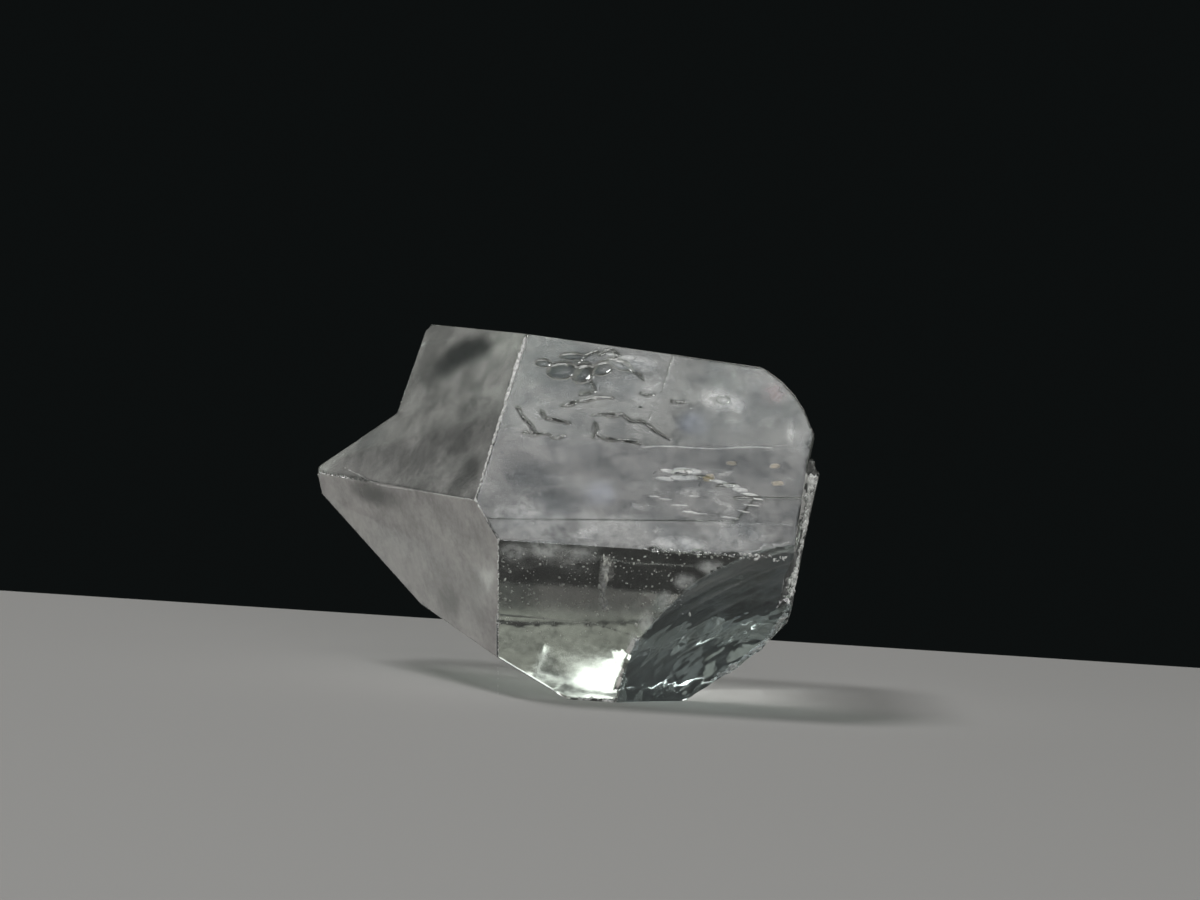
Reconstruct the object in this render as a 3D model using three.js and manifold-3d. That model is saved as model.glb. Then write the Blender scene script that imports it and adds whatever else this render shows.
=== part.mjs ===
// A small phenakite crystal, 9 mm long, lying on one of its prism faces.
//
// It is one clear six-sided prism. Its long axis (the c axis) runs along X, its pointed end is at -X
// and its broken end is at +X. The front of the crystal faces -Y. Two faces lean together to an edge
// along the middle of the front, a third lies flat underneath, and a sixth closes the top. At the
// pointed end, slanting faces meet in a tip, and a deep notch parts the tip from a blunt tooth above it.
//
// Units are millimetres, +Z is up, and the origin is under the middle of the crystal on its rest face.

import * as THREE from "three";
import { mergeVertices } from "three/addons/utils/BufferGeometryUtils.js";
import Module from "manifold-3d";

const wasm = await Module();
wasm.setup();

// Driving dimensions
const LENGTH = 9.0; // tip to broken end, along X
const SCALE = LENGTH / 9.0; // every size below was read on a crystal 9 mm long
const REACH = 24 * SCALE; // side of the blocks that cut the flat faces

// The flat faces, each given as a crystallographer would: its normal's azimuth about the c axis
// (0 to the front, 90 up), the angle between its normal and the pointed end's axis, and its distance
// from the middle of the crystal.
const PRISM_FACES = {
  frontUpper: [30, 90, 2.874],
  frontLower: [-30, 90, 3.112],
  under: [-90, 90, 3.204],
  backLower: [-150, 90, 3.02],
  backUpper: [150, 90, 3.1],
  top: [94.5, 94.4, 3.115],
};
const POINT_FACES = {
  pointUpper: [45.1, 39.1, 2.867],
  pointLower: [-33.6, 35.1, 2.739],
  pointBack: [180, 42, 5.02],
  pointUnder: [-86.7, 47.6, 3.093],
  pointUnderSecond: [-86.9, 61.8, 2.824],
};
const NOTCH_TOOTH_SIDE = [127.7, 13.8, 3.628];
const NOTCH_TIP_SIDE = [101.1, 57.9, 3.217];

// The narrow bright face that blunts the edge between the upper point face and the front
const BLUNT_EDGE_DEPTH = 0.012;

// The broken end: a slab in front ends a step short of the part behind it
const END_TILT = 7.9; // degrees that the end leans out at the top
const END_FRONT = 3.985;
const END_STEP = 0.27;
const STEP_BEHIND = -1.35; // the part that sticks out starts this far from the middle, along Y
const STEP_BELOW = 1.1; // and stays below this height from the middle
const END_ROUGHNESS = 0.035;

// The rounded upper corner of the broken end, and the blunt lower one
const UPPER_CORNER = { x: 2.55, z: 1.25, radius: 1.76, from: 20, to: 72, faces: 5 };
const LOWER_CORNER = { x: 0.98, z: 0.25, radius: 3.61, from: -58, to: -36, faces: 3 };
const CORNER_LEAN = 0.09; // their faces lean back by this much for each unit that they face up

// The shell-shaped break below the front edge, with ripples about its lower right side
const SHELL = { x: 5.62, y: -6.02, z: -6.27, radius: 7.0 };
const SHELL_AIM = [-3.3, 3.8, 4.3];
const SHELL_SIDE = 5.6;
const SHELL_CELLS = 40;
const RIPPLE_CENTRE = [1.9, -0.6];
const RIPPLE_LENGTH = 0.55;
const RIPPLE_HEIGHT = 0.02;

// Growth ledges: thin layers missing from a face, each with its outline in that face's own measures
const LEDGE_DEPTH = 0.022;

// Etch channels on the upper front face: from and to (along the face, up the face), width, depth
const CHANNELS = [
  [-0.86, 2.12, -0.53, 2.13, 0.075, 0.05],
  [-0.55, 2.46, -0.13, 2.37, 0.08, 0.055],
  [-0.21, 2.73, 0.06, 2.84, 0.075, 0.05],
  [0.05, 2.84, 0.62, 2.93, 0.06, 0.045],
  [0.35, 2.58, 0.83, 2.61, 0.085, 0.06],
  [0.45, 2.14, 0.8, 2.09, 0.08, 0.06],
  [0.78, 2.09, 1.17, 2.07, 0.06, 0.05],
  [0.35, 2.41, 0.37, 2.12, 0.05, 0.045],
  [1.14, 3.06, 1.36, 3.05, 0.045, 0.035],
  [1.7, 2.95, 1.92, 2.93, 0.045, 0.035],
  [1.08, 2.78, 1.2, 2.79, 0.05, 0.035],
  [-1.32, 3.25, -1.72, 2.12, 0.03, 0.02],
];

// Pits eaten into the upper front face: middle (along, up), half length, half width, depth, turn
const PITS = [
  [-0.3, 3.42, 0.3, 0.2, 0.06, 10],
  [0.08, 3.4, 0.2, 0.26, 0.09, -35],
  [0.42, 3.52, 0.22, 0.16, 0.06, 30],
  [0.72, 3.62, 0.26, 0.12, 0.05, -20],
  [-0.65, 3.55, 0.16, 0.1, 0.04, 0],
  [-0.15, 3.72, 0.24, 0.09, 0.04, 5],
  [1.95, 1.55, 0.2, 0.06, 0.035, 8],
  [2.36, 1.46, 0.17, 0.055, 0.035, -6],
  [2.75, 1.34, 0.2, 0.05, 0.035, 10],
  [3.1, 1.12, 0.22, 0.045, 0.03, 4],
  [2.62, 3.05, 0.16, 0.12, 0.04, 0],
];

// Chips along the front edge, from the middle of the crystal to its broken end
const CHIP_FROM = 1.55;
const CHIP_TO = 4.0;
const CHIP_COUNT = 11;

const scaled = (value) => value * SCALE;

// The way that a face looks, from its azimuth about the c axis and its angle from the pointed end
function facing(azimuth, angle) {
  const a = THREE.MathUtils.degToRad(azimuth);
  const i = THREE.MathUtils.degToRad(angle);
  return new THREE.Vector3(-Math.cos(i), -Math.sin(i) * Math.cos(a), Math.sin(i) * Math.sin(a));
}

function solidOf(geometry) {
  const shape = geometry.index ? geometry : mergeVertices(geometry);
  shape.deleteAttribute("normal");
  shape.deleteAttribute("uv");
  const merged = mergeVertices(shape, 1e-6);
  return new wasm.Manifold(
    new wasm.Mesh({
      numProp: 3,
      vertProperties: new Float32Array(merged.attributes.position.array),
      triVerts: new Uint32Array(merged.index.array),
    }),
  );
}

// Everything beyond a plane, as a block whose near side lies on it
function beyond(normal, distance) {
  const block = new THREE.BoxGeometry(REACH, REACH, REACH);
  block.translate(0, 0, REACH / 2 + scaled(distance));
  block.applyQuaternion(new THREE.Quaternion().setFromUnitVectors(new THREE.Vector3(0, 0, 1), normal));
  return solidOf(block);
}

function beyondFace([azimuth, angle, distance]) {
  return beyond(facing(azimuth, angle), distance);
}

// A block whose near side is a relief, placed so that its local -Z looks along aim
function reliefBlock(side, depth, cells, relief, place, aim) {
  const block = new THREE.BoxGeometry(side, side, depth, cells, cells, 1);
  const points = block.attributes.position;
  for (let i = 0; i < points.count; i += 1) {
    if (points.getZ(i) < 0) {
      points.setZ(i, relief(points.getX(i), points.getY(i)));
    } else {
      points.setZ(i, depth);
    }
  }
  const frame = new THREE.Matrix4().lookAt(new THREE.Vector3(), aim, new THREE.Vector3(0, 0, 1));
  block.applyMatrix4(frame);
  block.translate(place.x, place.y, place.z);
  return solidOf(block);
}

// The uneven surface of a break: a few long swells and short ones, worked out by a formula
function fracture(x, y) {
  const long = Math.sin(1.9 * x + 0.6) * Math.cos(1.4 * y - 0.4);
  const middle = 0.55 * Math.sin(4.3 * x - 2.1 * y + 1.2);
  const short = 0.3 * Math.sin(8.7 * y + 3.1 * x) * Math.sin(7.9 * x - 1.3);
  return long + middle + short;
}

// The measures of a prism face: along the crystal, up the face from a line on it, and inwards
function faceFrame(azimuth, distance, lineHeight) {
  const normal = facing(azimuth, 90);
  const along = new THREE.Vector3(1, 0, 0);
  const up = new THREE.Vector3().crossVectors(normal, along).normalize();
  const origin = normal.clone().multiplyScalar(scaled(distance));
  origin.addScaledVector(up, scaled(lineHeight));
  return new THREE.Matrix4().makeBasis(along, up, normal).setPosition(origin);
}

// A thin layer to take off a face, with an irregular outline
function ledge(frame, outline, depth) {
  const shape = new THREE.Shape(outline.map(([x, y]) => new THREE.Vector2(scaled(x), scaled(y))));
  const layer = new THREE.ExtrudeGeometry(shape, { depth: scaled(1), bevelEnabled: false });
  layer.translate(0, 0, -scaled(depth));
  return solidOf(layer.applyMatrix4(frame));
}

// A V-shaped channel with pointed ends, cut into a face
function channel(frame, [fromX, fromY, toX, toY, width, depth]) {
  const length = Math.hypot(toX - fromX, toY - fromY);
  const keel = new THREE.OctahedronGeometry(1);
  keel.scale(scaled(length / 2), scaled(width / 2), scaled(depth));
  keel.rotateZ(Math.atan2(toY - fromY, toX - fromX));
  keel.translate(scaled((fromX + toX) / 2), scaled((fromY + toY) / 2), 0);
  return solidOf(keel.applyMatrix4(frame));
}

// A shallow rounded pit in a face
function pit(frame, [x, y, halfLength, halfWidth, depth, turn]) {
  const hollow = new THREE.IcosahedronGeometry(1, 2);
  hollow.scale(scaled(halfLength), scaled(halfWidth), scaled(depth));
  hollow.rotateZ(THREE.MathUtils.degToRad(turn));
  hollow.translate(scaled(x), scaled(y), 0);
  return solidOf(hollow.applyMatrix4(frame));
}

// The prism, cut from a block by its flat faces, with the point's faces at one end
function crystalBody() {
  let body = solidOf(new THREE.BoxGeometry(REACH / 2, REACH / 2, REACH / 2));
  for (const face of [...Object.values(PRISM_FACES), ...Object.values(POINT_FACES)]) {
    body = body.subtract(beyondFace(face));
  }
  return body;
}

function notch() {
  return beyondFace(NOTCH_TOOTH_SIDE).intersect(beyondFace(NOTCH_TIP_SIDE));
}

function bluntEdge() {
  const upper = facing(...POINT_FACES.pointUpper);
  const front = facing(...PRISM_FACES.frontUpper);
  const normal = upper.clone().add(front).normalize();
  // A point on the edge is where the two faces meet; the cut goes a little way inside it
  const c = upper.dot(front);
  const a = (POINT_FACES.pointUpper[2] - c * PRISM_FACES.frontUpper[2]) / (1 - c * c);
  const b = (PRISM_FACES.frontUpper[2] - c * POINT_FACES.pointUpper[2]) / (1 - c * c);
  const onEdge = upper.multiplyScalar(a).addScaledVector(front, b);
  return beyond(normal, onEdge.dot(normal) - BLUNT_EDGE_DEPTH);
}

// The broken end, an uneven surface in two levels
function brokenEnd() {
  const tilt = THREE.MathUtils.degToRad(END_TILT);
  const outward = new THREE.Vector3(Math.cos(tilt), 0, -Math.sin(tilt));
  const inward = outward.clone().negate();
  const cells = 26;
  const relief = (x, y) => scaled(END_ROUGHNESS) * fracture(x / SCALE, y / SCALE);
  const level = (distance) =>
    reliefBlock(scaled(9), scaled(4), cells, relief, outward.clone().multiplyScalar(scaled(distance)), inward);
  const kept = new THREE.BoxGeometry(REACH, REACH, REACH);
  kept.translate(0, scaled(STEP_BEHIND) + REACH / 2, scaled(STEP_BELOW) - REACH / 2);
  const front = level(END_FRONT).subtract(solidOf(kept));
  return front.add(level(END_FRONT + END_STEP));
}

// The faces that round a corner of the broken end, each touching the corner's arc
function roundedCorner({ x, z, radius, from, to, faces }) {
  const cuts = [];
  for (let i = 0; i < faces; i += 1) {
    const angle = THREE.MathUtils.degToRad(from + ((to - from) * (i + 0.5)) / faces);
    const normal = new THREE.Vector3(Math.cos(angle), CORNER_LEAN * Math.sin(angle), Math.sin(angle));
    const middle = new THREE.Vector3(x, 0, z);
    cuts.push(beyond(normal.clone().normalize(), (middle.dot(normal) + radius) / normal.length()));
  }
  return cuts;
}

function shellBreak() {
  const aim = new THREE.Vector3(...SHELL_AIM).normalize();
  const radius = scaled(SHELL.radius);
  const relief = (x, y) => {
    const bowl = -Math.sqrt(radius * radius - x * x - y * y);
    const ring = Math.hypot(x - scaled(RIPPLE_CENTRE[0]), y - scaled(RIPPLE_CENTRE[1]));
    const wave = Math.sin((2 * Math.PI * ring) / scaled(RIPPLE_LENGTH));
    return bowl + scaled(RIPPLE_HEIGHT) * (wave + 0.4 * fracture(x / SCALE, y / SCALE));
  };
  const centre = new THREE.Vector3(SHELL.x, SHELL.y, SHELL.z).multiplyScalar(SCALE);
  return reliefBlock(scaled(SHELL_SIDE), scaled(1), SHELL_CELLS, relief, centre, aim);
}

// Growth ledges on the front, the hidden faces and the top
function ledges(front, lower, back, backUnder, top) {
  return [
    ledge(front, [[1.1, 2.03], [2.4, 2.1], [3.7, 2.2], [5, 2.3], [5, 5], [1.9, 5], [1.5, 3.1]], LEDGE_DEPTH),
    ledge(front, [[-2, -1], [5, -1], [5, 0.74], [3.4, 0.68], [1.2, 0.55], [-1.2, 0.4], [-2, 0.36]], LEDGE_DEPTH),
    ledge(front, [[2.9, 0.6], [5, 0.7], [5, 1.25], [3.3, 1.16]], LEDGE_DEPTH * 2),
    ledge(lower, [[-2, -1.62], [0.5, -1.7], [1.4, -1.95], [1.2, -5], [-2, -5]], LEDGE_DEPTH),
    ledge(back, [[-5, 0.7], [-0.6, 0.8], [1.1, 1.1], [5, 1.0], [5, 5], [-5, 5]], LEDGE_DEPTH * 1.6),
    ledge(back, [[-5, -5], [5, -5], [5, -1.2], [0.4, -0.9], [-2.6, -1.3], [-5, -1.1]], LEDGE_DEPTH),
    ledge(back, [[1.6, -0.3], [5, -0.45], [5, 0.3], [2.2, 0.2]], LEDGE_DEPTH * 2),
    ledge(backUnder, [[-5, 0.4], [-1.5, 0.5], [0.9, 0.9], [5, 0.75], [5, 5], [-5, 5]], LEDGE_DEPTH * 1.4),
    ledge(backUnder, [[-5, -5], [2.2, -5], [1.7, -1.0], [-0.8, -0.7], [-5, -0.8]], LEDGE_DEPTH * 1.4),
    ledge(top, [[-0.6, -0.1], [1.0, 0.1], [2.6, 0.0], [5, 0.15], [5, 3], [0.2, 3], [-0.3, 1.1]], LEDGE_DEPTH),
  ];
}

// Small chips knocked out of the front edge
function edgeChips() {
  const chips = [];
  for (let i = 0; i < CHIP_COUNT; i += 1) {
    const share = (i + 0.35 * Math.sin(5.1 * i)) / (CHIP_COUNT - 1);
    const size = scaled(0.05 + 0.03 * Math.sin(2.3 * i + 1));
    const chip = new THREE.IcosahedronGeometry(size, 1);
    chip.scale(1.7, 1, 1);
    chip.translate(scaled(CHIP_FROM + (CHIP_TO - CHIP_FROM) * share), scaled(-3.46), scaled(-0.24));
    chips.push(solidOf(chip));
  }
  return chips;
}

function meshOf(solid, name, material) {
  const { vertProperties, triVerts } = solid.getMesh();
  const geometry = new THREE.BufferGeometry();
  geometry.setAttribute("position", new THREE.BufferAttribute(vertProperties, 3));
  geometry.setIndex(new THREE.BufferAttribute(triVerts, 1));
  geometry.computeVertexNormals();
  geometry.computeBoundingBox();
  const mesh = new THREE.Mesh(geometry, material);
  mesh.name = name;
  return mesh;
}

function buildCrystal() {
  // The front faces' measures start at the edge where the two of them meet
  const frontFrame = faceFrame(30, PRISM_FACES.frontUpper[2], -1.934);
  const lowerFrame = faceFrame(-30, PRISM_FACES.frontLower[2], 1.522);
  const backFrame = faceFrame(150, PRISM_FACES.backUpper[2], 0);
  const backUnderFrame = faceFrame(-150, PRISM_FACES.backLower[2], 0);
  const topFrame = faceFrame(90, PRISM_FACES.top[2] - 0.02, 0);
  const cuts = [
    notch(),
    bluntEdge(),
    brokenEnd(),
    ...roundedCorner(UPPER_CORNER),
    ...roundedCorner(LOWER_CORNER),
    shellBreak(),
    ...ledges(frontFrame, lowerFrame, backFrame, backUnderFrame, topFrame),
    ...CHANNELS.map((line) => channel(frontFrame, line)),
    ...PITS.map((hollow) => pit(frontFrame, hollow)),
    ...edgeChips(),
  ];
  return cuts.reduce((body, cut) => body.subtract(cut), crystalBody());
}

const clearCrystal = new THREE.MeshStandardMaterial({ color: 0xd9dad8, roughness: 0.12, metalness: 0 });
const crystal = meshOf(buildCrystal(), "crystal", clearCrystal);
const box = crystal.geometry.boundingBox;
const middle = box.getCenter(new THREE.Vector3());
crystal.position.set(-middle.x, -middle.y, -box.min.z);

const group = new THREE.Group();
group.add(crystal);

export default group;
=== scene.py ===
# %% [markdown]
# # A phenakite crystal, 9 mm long
# This lesson dresses one small clear crystal. It has flat glassy faces, a point with a deep notch, a broken
# end, and a shell-shaped break below its front edge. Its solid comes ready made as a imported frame. The
# lesson adds what light shows: worn edges, etch marks, haze, thin veils and specks inside the crystal.

# %% Load the frame
import math

import bmesh
import bpy
import numpy as np
from mathutils import Matrix, Vector
from mathutils.bvhtree import BVHTree
from mathutils.kdtree import KDTree


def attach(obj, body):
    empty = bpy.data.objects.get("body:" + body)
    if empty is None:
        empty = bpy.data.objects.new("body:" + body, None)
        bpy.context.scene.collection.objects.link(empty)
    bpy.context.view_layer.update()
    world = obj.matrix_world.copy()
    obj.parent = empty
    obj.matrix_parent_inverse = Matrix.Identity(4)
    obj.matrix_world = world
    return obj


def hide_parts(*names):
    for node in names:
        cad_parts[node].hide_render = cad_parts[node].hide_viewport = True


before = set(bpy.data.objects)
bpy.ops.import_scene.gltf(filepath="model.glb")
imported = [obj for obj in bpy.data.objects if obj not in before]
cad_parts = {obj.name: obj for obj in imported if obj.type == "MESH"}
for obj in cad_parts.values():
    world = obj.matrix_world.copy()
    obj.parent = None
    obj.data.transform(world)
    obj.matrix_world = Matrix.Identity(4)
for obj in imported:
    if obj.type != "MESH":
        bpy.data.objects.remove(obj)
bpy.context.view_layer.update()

# Blender and the frame measure in metres, and this lesson works in millimetres
MM = 0.001
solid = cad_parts["crystal"]

# %% [markdown]
# ## Where things are on the crystal
# The crystal's long axis runs along X, near the middle of its height. Each prism face is known by
# its azimuth about that axis, 0 to the front and 90 up, and by its distance from it. A place on the front is
# easiest to name by how far along the crystal it is and how far up the face from the front edge.

# %% Faces and places
AXIS = np.array([0.146, -0.035, 3.204])
FRONT_UPPER = 30
FRONT_LOWER = -30
FRONT_EDGE = AXIS + np.array([0, -3.456, -0.238])
# Whole faces: azimuth, angle from the pointed end, and distance from the middle of the crystal
POINT_UPPER = (45.1, 39.1, 2.867)
POINT_LOWER = (-33.6, 35.1, 2.739)
PRISM_UPPER = (FRONT_UPPER, 90, 2.874)
PRISM_LOWER = (FRONT_LOWER, 90, 3.112)
PRISM_UNDER = (-90, 90, 3.204)
PRISM_TOP = (94.5, 94.4, 3.115)


def facing(azimuth, angle=90):
    """The outward direction of a face. A prism face stands at 90 degrees to the crystal's length."""
    a = math.radians(azimuth)
    i = math.radians(angle)
    return np.array([-math.cos(i), -math.sin(i) * math.cos(a), math.sin(i) * math.sin(a)])


def corner(*faces):
    """The place where three faces meet, each given by its azimuth, angle and distance."""
    normals = [facing(azimuth, angle) for azimuth, angle, _ in faces]
    return AXIS + np.linalg.solve(normals, [distance for _, _, distance in faces])


def uphill(azimuth):
    """The direction that climbs a prism face, at right angles to the crystal's length."""
    return np.cross(facing(azimuth), [1.0, 0.0, 0.0])


def on_face(azimuth, along, up, deep=0.0):
    """A point on a front face, in mm: along the crystal, up from the front edge, and deep below the face."""
    start = FRONT_EDGE + np.array([along, 0, 0])
    return start + uphill(azimuth) * up - facing(azimuth) * deep


print("front edge, mm:", FRONT_EDGE.round(3))

# %% [markdown]
# ## The camera
# The crystal is seen from the front and a little from above, through a long lens, so that its far edges look
# almost as large as its near ones. The camera is rolled a few degrees, so the crystal slopes to the right.

# %% Camera
CAMERA_AIM = Vector((0.615, 0.0, 4.417)) * MM
CAMERA_DISTANCE = 130.7 * MM
CAMERA_HEIGHT = math.radians(4.0)
CAMERA_ROLL = math.radians(3.7)
LENS = 215.0

camera_data = bpy.data.cameras.new("camera")
camera_data.lens = LENS
camera_data.sensor_width = 36.0
camera_data.clip_start = 0.01
camera_data.clip_end = 2.0
camera = bpy.data.objects.new("camera", camera_data)
bpy.context.scene.collection.objects.link(camera)
backward = Vector((0, -math.cos(CAMERA_HEIGHT), math.sin(CAMERA_HEIGHT)))
level = backward.to_track_quat("Z", "Y").to_matrix()
camera.matrix_world = (
    Matrix.Translation(CAMERA_AIM + backward * CAMERA_DISTANCE)
    @ level.to_4x4()
    @ Matrix.Rotation(CAMERA_ROLL, 4, "Z")
)
bpy.context.scene.camera = camera
print("camera, mm:", [round(v / MM, 1) for v in camera.matrix_world.translation])

# %% [markdown]
# ## A mesh that is fine where it has to be
# The solid has large flat triangles. Worn edges and etch marks need small ones, but small triangles all over
# would be millions. So each edge is halved again and again until it is short enough for its place: very
# short by a worn edge or a mark, and longer out on a plain face. The halving runs on whole arrays at once.

# %% Halve the long edges
def edge_table(triangles):
    """Each edge once, and for each triangle's three edges their rows in that table."""
    pairs = np.sort(triangles[:, [[0, 1], [1, 2], [2, 0]]].reshape(-1, 2), axis=1)
    base = pairs.max() + 1
    keys, rows = np.unique(pairs[:, 0] * base + pairs[:, 1], return_inverse=True)
    return np.stack([keys // base, keys % base], axis=1), rows.reshape(-1, 3)


def halve(points, triangles, too_long):
    """Puts a point in the middle of each edge that is too long, and parts the triangles that use it."""
    edges, rows = edge_table(triangles)
    ends = points[edges]
    cut = too_long((ends[:, 0] + ends[:, 1]) / 2, np.linalg.norm(ends[:, 0] - ends[:, 1], axis=1))
    if not cut.any():
        return points, triangles, False
    middle = np.full(len(edges), -1)
    middle[cut] = len(points) + np.arange(cut.sum())
    points = np.vstack([points, ends[cut].mean(axis=1)])
    made = [triangles[~cut[rows].any(axis=1)]]
    for pattern in range(1, 8):
        marks = [bool(pattern & bit) for bit in (1, 2, 4)]
        chosen = (cut[rows] == marks).all(axis=1)
        a, b, c = triangles[chosen].T
        m = middle[rows[chosen]].T
        # The triangle is turned so that its first edge is cut, and its last one only if all are
        turn = {1: 0, 2: 1, 4: 2, 3: 0, 6: 1, 5: 2, 7: 0}[pattern]
        a, b, c = (a, b, c)[turn:] + (a, b, c)[:turn]
        ab, bc, ca = list(m[turn:]) + list(m[:turn])
        if sum(marks) == 1:
            pieces = [(a, ab, c), (ab, b, c)]
        elif sum(marks) == 2:
            one_way = np.linalg.norm(points[a] - points[bc], axis=1)
            other_way = np.linalg.norm(points[ab] - points[c], axis=1)
            last = np.where(one_way < other_way, bc, c)
            first = np.where(one_way < other_way, a, ab)
            pieces = [(ab, b, bc), (a, ab, last), (first, bc, c)]
        else:
            pieces = [(a, ab, ca), (ab, b, bc), (ca, bc, c), (ab, bc, ca)]
        made += [np.stack(piece, axis=1) for piece in pieces]
    return points, np.vstack(made), True


# %% [markdown]
# The solid's own vertices come first. They are joined where the file keeps two for one place, and the sharp
# edges are found by the angle between the two faces that meet there. Only the long ones, where the crystal's
# faces meet, get worn. The short ones round the small pits stay crisp.

# %% Read the solid
JOIN = 0.2e-6
FLAT = math.radians(0.5)
SHARP = math.radians(24)
LONG_EDGE = 0.22

work = bmesh.new()
work.from_mesh(solid.data)
bmesh.ops.remove_doubles(work, verts=work.verts, dist=JOIN)
bmesh.ops.dissolve_limit(work, angle_limit=FLAT, verts=work.verts, edges=work.edges)
bmesh.ops.triangulate(work, faces=work.faces, ngon_method="BEAUTY")
work.verts.ensure_lookup_table()
points = np.array([v.co for v in work.verts]) / MM
triangles = np.array([[v.index for v in f.verts] for f in work.faces])
worn_edges = [
    e for e in work.edges
    if e.is_manifold and e.calc_face_angle() > SHARP and e.calc_length() > LONG_EDGE * MM
]
worn_from = np.array([e.verts[0].co for e in worn_edges]) / MM
worn_to = np.array([e.verts[1].co for e in worn_edges]) / MM
work.free()
worn_length = np.linalg.norm(worn_to - worn_from, axis=1).sum()
print("solid:", len(points), "vertices and", len(triangles), "triangles")
print("worn edges, mm:", round(worn_length))

# %% [markdown]
# Many steps ask how far a place is from the nearest edge or mark. The lines are turned into close rows of
# points, and a tree of points answers that question fast.

# %% Distance to lines
EDGE_STEP = 0.02


def sampled(starts, ends, step):
    """Points every step mm along many lines."""
    parts = []
    for start, end in zip(starts, ends):
        count = max(1, int(np.linalg.norm(end - start) / step))
        share = np.linspace(0, 1, count + 1)[:, None]
        parts.append(start + (end - start) * share)
    return np.vstack(parts)


def nearest_distance(places, tree):
    """How far each place is from the nearest point in the tree."""
    return np.array([tree.find(p)[2] for p in places])


def tree_of(places):
    """A tree that finds the nearest of many places."""
    tree = KDTree(len(places))
    for index, place in enumerate(places):
        tree.insert(place, index)
    tree.balance()
    return tree


edge_places = sampled(worn_from, worn_to, EDGE_STEP)
edge_tree = tree_of(edge_places)
print("places along the worn edges:", len(edge_places))

# %% [markdown]
# ## Etch marks
# Natural acids once ate at the upper front face. They left thin winding grooves like lines on a map, most of
# them in its upper left part. Each groove is a short list of places on the face, joined by a smooth line.

# %% Groove lines on the upper front face
# Each place is along the crystal and up the face, in mm
GROOVES = [
    [(-1.05, 2.62), (-0.95, 2.45), (-0.8, 2.3), (-0.72, 2.15)],
    [(-0.9, 2.14), (-0.7, 2.11), (-0.5, 2.13), (-0.35, 2.05), (-0.2, 2.12)],
    [(-0.62, 2.58), (-0.55, 2.46), (-0.35, 2.42), (-0.12, 2.37)],
    [(-0.25, 2.72), (-0.1, 2.73), (0.02, 2.82), (0.18, 2.83), (0.35, 2.92), (0.62, 2.93)],
    [(0.3, 2.56), (0.45, 2.6), (0.62, 2.57), (0.83, 2.62)],
    [(0.83, 2.62), (1.0, 2.5), (1.2, 2.5), (1.35, 2.4), (1.5, 2.3), (1.7, 2.2)],
    [(0.45, 2.15), (0.62, 2.08), (0.82, 2.1), (1.17, 2.06)],
    [(0.35, 2.43), (0.39, 2.28), (0.34, 2.12)],
    [(0.6, 3.85), (0.72, 3.7), (0.85, 3.55), (1.05, 3.45), (1.15, 3.35)],
    [(0.35, 3.78), (0.55, 3.9), (0.7, 3.8)],
    [(-0.15, 3.55), (0.02, 3.4), (0.2, 3.25), (0.3, 3.05), (0.05, 2.95)],
    [(-0.05, 3.6), (0.1, 3.75), (0.3, 3.85)],
    [(1.14, 3.06), (1.24, 3.03), (1.36, 3.05)],
    [(1.7, 2.95), (1.8, 2.93), (1.92, 2.94)],
]
GROOVE_WIDTH = 0.02
GROOVE_DEPTH = 0.018
GROOVE_STEP = 0.01


def smooth_line(corners, per_corner=6):
    """A Catmull-Rom curve through a few places."""
    p = np.array([corners[0], *corners, corners[-1]], float)
    found = []
    for i in range(1, len(p) - 2):
        for t in np.linspace(0, 1, per_corner, endpoint=False):
            found.append(
                0.5
                * (
                    2 * p[i]
                    + (p[i + 1] - p[i - 1]) * t
                    + (2 * p[i - 1] - 5 * p[i] + 4 * p[i + 1] - p[i + 2]) * t**2
                    + (3 * p[i] - p[i - 1] - 3 * p[i + 1] + p[i + 2]) * t**3
                )
            )
    found.append(p[-1])
    return np.array(found)


groove_lines = [np.array([on_face(FRONT_UPPER, *q) for q in smooth_line(g)]) for g in GROOVES]
groove_places = np.vstack([sampled(line[:-1], line[1:], GROOVE_STEP) for line in groove_lines])
groove_tree = tree_of(groove_places)
print("grooves:", len(GROOVES), "in", len(groove_places), "places")

# %% [markdown]
# ## The shell break and the leaning corner
# The lower right corner broke off along a hollow shell. Such a break is glassy, with faint streaks that run
# up it. Beside it, the lowest corner of the lower front face leans back by a few degrees, as crystal faces
# often do near an edge, and so it mirrors another part of the room than the rest of the face.

# %% The shell break
SHELL_CENTRE = np.array([5.766, -6.055, -3.066])
SHELL_RADIUS = 7.0
SHELL_BAND = 0.06
SHELL_UNDER_FACE = 3.09
SHELL_STARTS = 0.5
RIPPLE_LEFT = 0.3
STREAK_ACROSS = np.array([-0.342, -0.855, 0.39])
STREAK_ALONG = np.array([0.695, 0.05, 0.718])
STREAKS = [(0.55, 0.003), (0.31, 0.0018), (0.19, 0.0011), (0.12, 0.0005)]
STREAK_SHIFT = 1.7
STREAK_SWAY = 0.9
STREAK_SWAY_RATE = 1.6


def on_shell(places):
    """True for the places that lie in the hollow of the break, and not on a face beside it."""
    away = np.linalg.norm(places - SHELL_CENTRE, axis=1)
    low = (places @ facing(FRONT_LOWER)) - (AXIS @ facing(FRONT_LOWER)) < SHELL_UNDER_FACE
    return (np.abs(away - SHELL_RADIUS) < SHELL_BAND) & low & (places[:, 0] > SHELL_STARTS)


def streak_height(places):
    """How high the streaks stand, as a few waves across them that sway a little along them."""
    across = places @ STREAK_ACROSS
    along = places @ STREAK_ALONG
    height = np.zeros(len(places))
    for number, (length, size) in enumerate(STREAKS):
        sway = STREAK_SWAY * np.sin(STREAK_SWAY_RATE * along + number)
        height += size * np.sin(2 * math.pi * across / length + STREAK_SHIFT * number + sway)
    return height


print("waves of the streaks:", len(STREAKS))

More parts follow.
